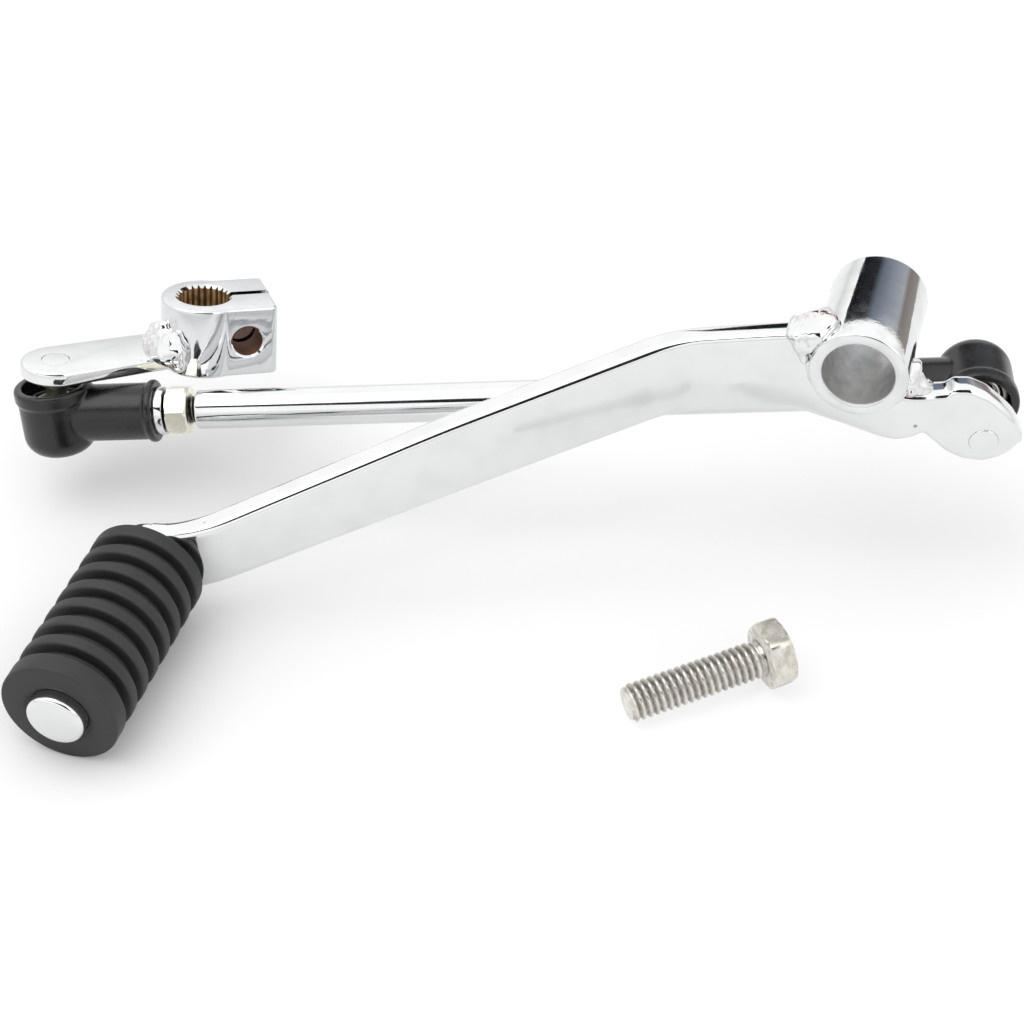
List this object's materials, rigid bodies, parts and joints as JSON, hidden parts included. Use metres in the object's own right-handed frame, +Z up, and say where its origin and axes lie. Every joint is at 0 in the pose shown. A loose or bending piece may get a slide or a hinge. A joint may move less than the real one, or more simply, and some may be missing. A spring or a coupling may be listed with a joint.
{
  "type": "motorcycle gear shift lever",
  "caption": "Chromed motorcycle gear shift lever with a ribbed rubber toe peg, a pivot tube, an adjustable link rod with booted ball joints, and a splined clamp arm.",
  "frame": {"origin": "centre of the pivot tube's outboard end face, on the lever's pivot axis", "axes": "+X backward from the toe peg towards the lobe behind the pivot, +Y inboard along the pivot axis, +Z up"},
  "size_m": [0.2146, 0.1297, 0.066],
  "materials": {
    "chrome": "polished chrome plate",
    "zinc": "yellowish zinc plate, satin",
    "steel": "bright zinc-plated steel",
    "rubber": "matt black rubber",
    "seat_plastic": "off-white bearing plastic"
  },
  "bodies": {
    "lever": {"lever_bar": "chrome", "pivot_tube": "chrome", "weld_front": "chrome", "weld_rear": "chrome", "weld_bead": "chrome", "peg_pin": "chrome", "peg_rubber": "rubber", "rear_ball_stud": "zinc"},
    "rear_seat": {"rear_ball_seat": "seat_plastic"},
    "rear_ring": {"rear_snap_ring": "steel"},
    "rear_end": {"rear_socket": "zinc", "rear_boot": "rubber"},
    "lock_nuts": {"rear_lock_nut": "zinc", "front_lock_nut": "zinc"},
    "rod": {"link_rod": "chrome"},
    "front_end": {"front_socket": "zinc", "front_boot": "rubber"},
    "front_ring": {"front_snap_ring": "steel"},
    "front_seat": {"front_ball_seat": "seat_plastic"},
    "clamp_arm": {"front_ball_stud": "zinc", "arm_plate": "chrome", "arm_weld": "chrome", "clamp_block": "chrome"},
    "bolt": {"mounting_bolt": "steel"}
  },
  "joints": [
    {"name": "rear_roll", "type": "hinge", "parent": "lever", "child": "rear_seat", "pos_m": [0.0227, 0.025, -0.0166], "axis": [-0.9724, -0.2135, -0.0942], "range_deg": [-12, 12]},
    {"name": "rear_tilt", "type": "hinge", "parent": "rear_seat", "child": "rear_ring", "pos_m": [0.0227, 0.025, -0.0166], "axis": [0.0922, 0.0196, -0.9956], "range_deg": [0, 15]},
    {"name": "rear_swing", "type": "hinge", "parent": "rear_ring", "child": "rear_end", "pos_m": [0.0227, 0.025, -0.0166], "axis": [0.2144, -0.9767, 0.0006], "range_deg": [0, 75]},
    {"name": "rear_thread", "type": "slide", "parent": "rear_end", "child": "lock_nuts", "axis": [-0.9724, -0.2135, -0.0942], "range_m": [0, 0.003]},
    {"name": "rod_turn", "type": "hinge", "parent": "lock_nuts", "child": "rod", "pos_m": [-0.0743, 0.0037, -0.026], "axis": [-0.9724, -0.2135, -0.0942], "range_deg": [0, 1080]},
    {"name": "front_thread", "type": "slide", "parent": "lock_nuts", "child": "front_end", "axis": [-0.9724, -0.2135, -0.0942], "range_m": [0, 0.0031]},
    {"name": "front_swing", "type": "hinge", "parent": "front_end", "child": "front_ring", "pos_m": [-0.1713, -0.0176, -0.0354], "axis": [-0.1426, 0.2237, 0.9642], "range_deg": [-3, 150]},
    {"name": "front_tilt", "type": "hinge", "parent": "front_ring", "child": "front_seat", "pos_m": [-0.1713, -0.0176, -0.0354], "axis": [-0.1848, 0.951, -0.248], "range_deg": [-15, 2.5]},
    {"name": "front_roll", "type": "hinge", "parent": "front_seat", "child": "clamp_arm", "pos_m": [-0.1713, -0.0176, -0.0354], "axis": [-0.9724, -0.2135, -0.0942], "range_deg": [-8, 8]},
    {"name": "bolt_lift", "type": "slide", "parent": "lever", "child": "bolt", "axis": [0, 0, 1], "range_m": [0, 0.05]}
  ],
  "couplings": [
    {"joint": "front_thread", "follows": "rear_thread", "ratio": 1}
  ]
}
